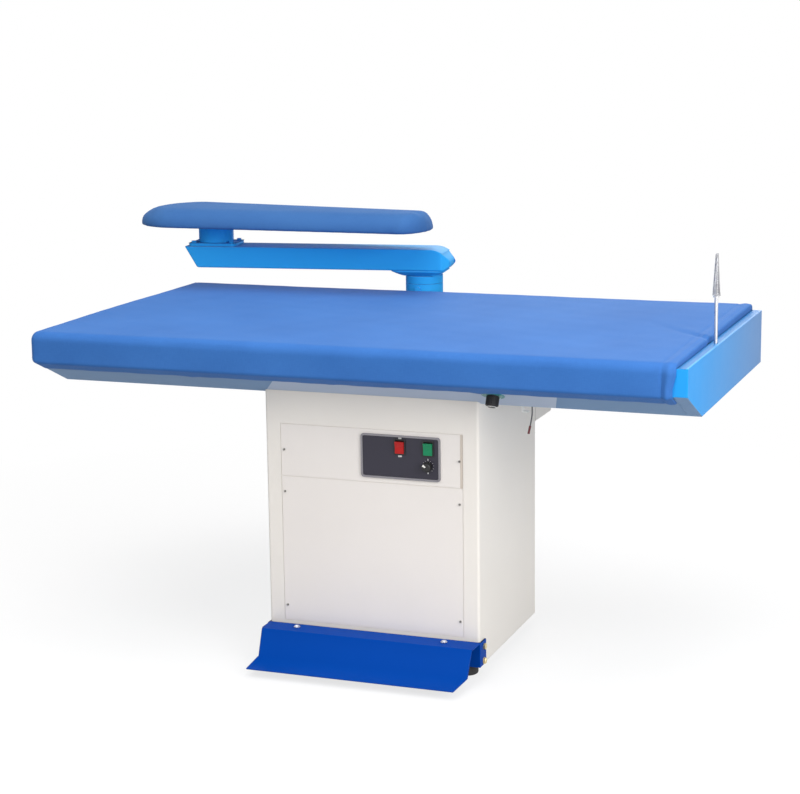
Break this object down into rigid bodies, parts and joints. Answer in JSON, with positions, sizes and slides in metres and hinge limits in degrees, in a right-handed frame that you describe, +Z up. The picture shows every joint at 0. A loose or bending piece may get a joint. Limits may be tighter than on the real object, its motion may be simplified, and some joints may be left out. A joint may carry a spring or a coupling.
{
  "type": "vacuum ironing table",
  "caption": "Pedestal vacuum ironing table with a padded cloth-covered board, a foot pedal, a control panel, a cable mast and a padded sleeve buck on a hollow swing arm.",
  "frame": {"origin": "middle of the whole footprint, on the floor", "axes": "+X along the table to the operator's right, +Y away from the operator, +Z up"},
  "size_m": [1.6222, 0.9787, 0.9564],
  "materials": {
    "cabinet_white": "powder coat",
    "panel_white": "powder coat",
    "tray_paint": "satin paint",
    "end_cap_blue": "satin paint",
    "arm_blue": "gloss paint",
    "pedal_blue": "gloss paint",
    "cover_cloth": "woven cotton",
    "buck_cloth": "woven cotton",
    "pad_felt": "felt",
    "bright_zinc": "bright zinc",
    "yellow_zinc": "yellow zinc",
    "mast_steel": "polished",
    "plain_steel": "mill finish",
    "galvanised_steel": "galvanised",
    "heater_sheath": "heat tinted",
    "motor_grey": "painted casting",
    "bush_bronze": "sintered",
    "control_silver": "satin",
    "control_navy": "printed sheet",
    "black_plastic": "moulded",
    "red_plastic": "lit rocker",
    "green_plastic": "lit rocker",
    "dial_teal": "printed disc",
    "white_plastic": "moulded",
    "black_rubber": "moulded",
    "lead_skin": "extruded",
    "sleeve_red": "shrunk sleeve"
  },
  "bodies": {
    "base": {"cabinet_shell": "cabinet_white", "base_plate": "plain_steel", "rubber_feet": "black_rubber", "panel_ledge_frame": "plain_steel", "switch_panel": "panel_white", "panel_screws": "bright_zinc", "access_panel": "panel_white", "control_frame": "control_silver", "control_plate": "control_navy", "switch_bodies": "black_plastic", "control_pot": "black_plastic", "tray": "tray_paint", "left_end_cap": "tray_paint", "right_end_cap": "end_cap_blue", "deck_plate": "galvanised_steel", "deck_rails": "plain_steel", "heater_element": "heater_sheath", "table_pad": "pad_felt", "table_cover": "cover_cloth", "thermostat_body": "black_plastic", "dial_plate": "dial_teal", "lead_wire": "lead_skin", "lead_grommet": "black_rubber", "lead_sleeve": "sleeve_red", "lead_clip": "white_plastic", "mast_rod": "mast_steel", "mast_nut": "bright_zinc", "mast_spring": "mast_steel", "rear_support": "cabinet_white", "suction_duct": "galvanised_steel", "blower_housing": "galvanised_steel", "motor": "motor_grey", "blower_stand": "plain_steel", "exhaust_outlet": "cabinet_white", "cable_gland": "black_plastic", "pedal_guide_bolts": "yellow_zinc", "pedal_springs": "plain_steel", "pedal_switch": "black_plastic", "post_socket": "arm_blue", "post_bolts": "bright_zinc", "post_bushes": "bush_bronze", "lock_screw": "bright_zinc"},
    "swing_arm": {"swivel_collar": "arm_blue", "arm_duct": "arm_blue", "buck_socket": "arm_blue", "buck_bolts": "bright_zinc"},
    "sleeve_buck": {"buck_post": "arm_blue", "buck_pan": "arm_blue", "buck_pad": "buck_cloth"},
    "foot_pedal": {"pedal_plate": "pedal_blue", "pedal_frame": "pedal_blue", "pedal_lip_bolts": "bright_zinc", "pedal_shafts": "yellow_zinc"},
    "pedal_plunger": {"switch_plunger": "white_plastic"},
    "red_switch": {"red_rocker": "red_plastic"},
    "green_switch": {"green_rocker": "green_plastic"},
    "fan_setting": {"control_knob": "black_plastic"},
    "heat_setting": {"thermostat_knob": "black_plastic"},
    "fan_rotor": {"rotor_shaft": "plain_steel", "impeller": "galvanised_steel"}
  },
  "joints": [
    {"name": "arm_swing", "type": "hinge", "parent": "base", "child": "swing_arm", "pos_m": [-0.06092, 0.42264, 0.768], "axis": [0, 0, 1], "range_deg": [-25, 80]},
    {"name": "buck_swivel", "type": "hinge", "parent": "swing_arm", "child": "sleeve_buck", "pos_m": [-0.60906, 0.3495, 0.914], "axis": [0, 0, 1], "range_deg": [-90, 90]},
    {"name": "pedal_press", "type": "hinge", "parent": "base", "child": "foot_pedal", "pos_m": [0.07608, -0.30536, 0.066], "axis": [1, 0, 0], "range_deg": [0, 4], "stiffness_Nm_per_rad": 40, "springref_deg": -6.88, "deforming": ["pedal_springs"]},
    {"name": "plunger_push", "type": "slide", "parent": "base", "child": "pedal_plunger", "axis": [0, 1, 0], "range_m": [0, 0.00192]},
    {"name": "red_rocker_tilt", "type": "hinge", "parent": "base", "child": "red_switch", "pos_m": [0.14688, -0.32286, 0.5098], "axis": [1, 0, 0], "range_deg": [-14, 0]},
    {"name": "green_rocker_tilt", "type": "hinge", "parent": "base", "child": "green_switch", "pos_m": [0.21278, -0.32286, 0.5098], "axis": [1, 0, 0], "range_deg": [-14, 0]},
    {"name": "fan_knob_turn", "type": "hinge", "parent": "base", "child": "fan_setting", "pos_m": [0.21208, -0.32236, 0.47], "axis": [0, -1, 0], "range_deg": [-135, 135]},
    {"name": "heat_knob_turn", "type": "hinge", "parent": "base", "child": "heat_setting", "pos_m": [0.38108, -0.38503, 0.64931], "axis": [0, -0.4147, -0.9099], "range_deg": [-150, 150]},
    {"name": "rotor_spin", "type": "hinge", "parent": "base", "child": "fan_rotor", "pos_m": [0.07608, -0.10736, 0.32], "axis": [0, 0, 1], "continuous": true}
  ],
  "couplings": [
    {"joint": "plunger_push", "follows": "pedal_press", "m_per_rad": 0.026}
  ]
}
